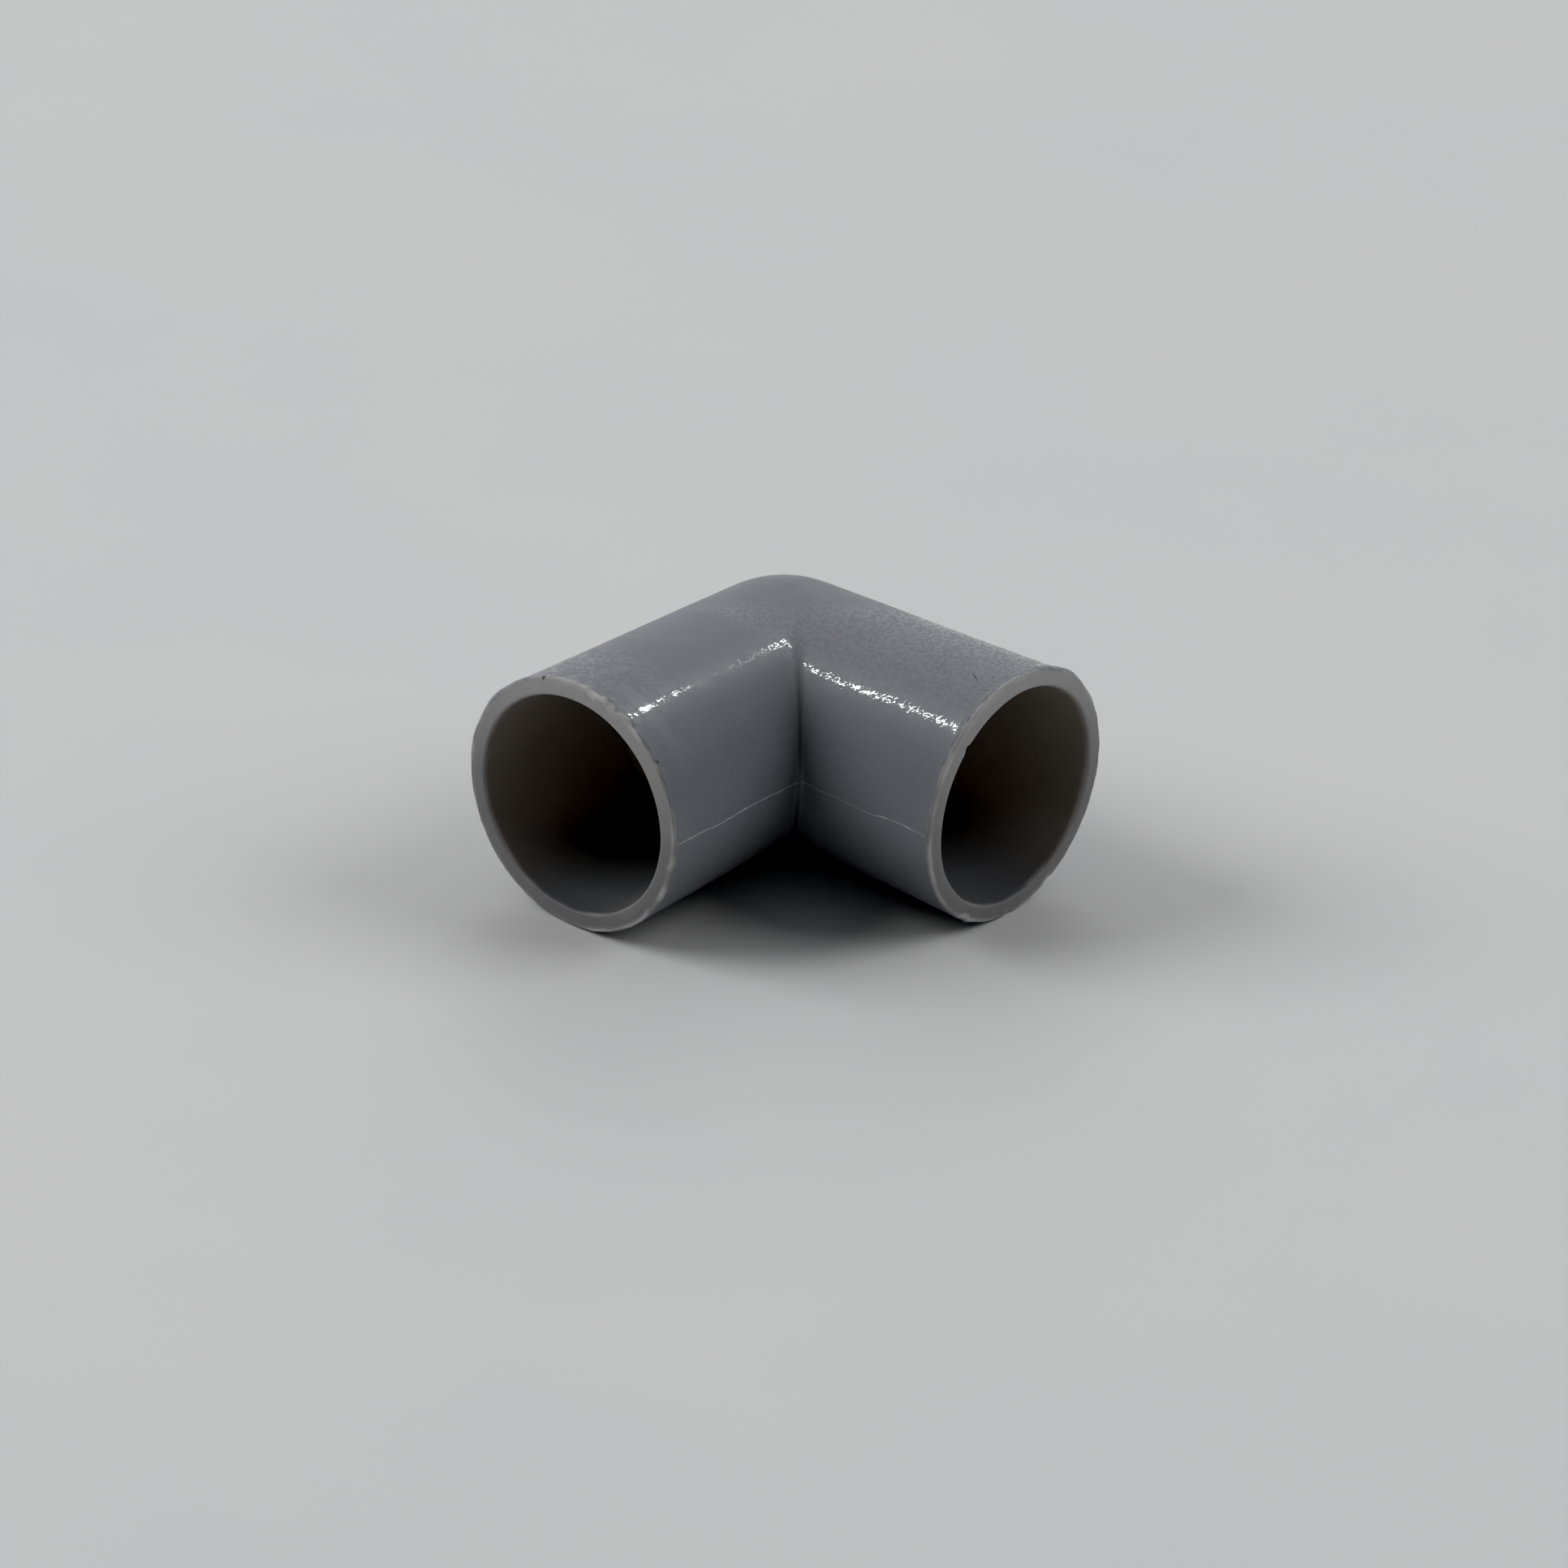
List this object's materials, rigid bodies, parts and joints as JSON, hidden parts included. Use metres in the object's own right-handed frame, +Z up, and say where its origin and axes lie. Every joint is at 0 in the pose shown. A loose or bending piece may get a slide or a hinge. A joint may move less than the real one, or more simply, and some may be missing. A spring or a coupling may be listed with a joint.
{
  "type": "pipe elbow",
  "caption": "Grey plastic 90 degree pipe elbow with two plain sockets and a square pipe stop inside each.",
  "frame": {"origin": "on the surface the elbow lies on, under the middle of its outline", "axes": "+X out of the long socket's mouth, +Y out of the short socket's mouth, +Z up, square to both socket axes"},
  "size_m": [0.0402, 0.0382, 0.0235],
  "materials": {
    "grey_pvc": "semi-gloss moulded PVC, cool grey, faint mould texture"
  },
  "bodies": {
    "root": {"long_socket": "grey_pvc", "short_socket": "grey_pvc", "bend": "grey_pvc"}
  },
  "joints": []
}
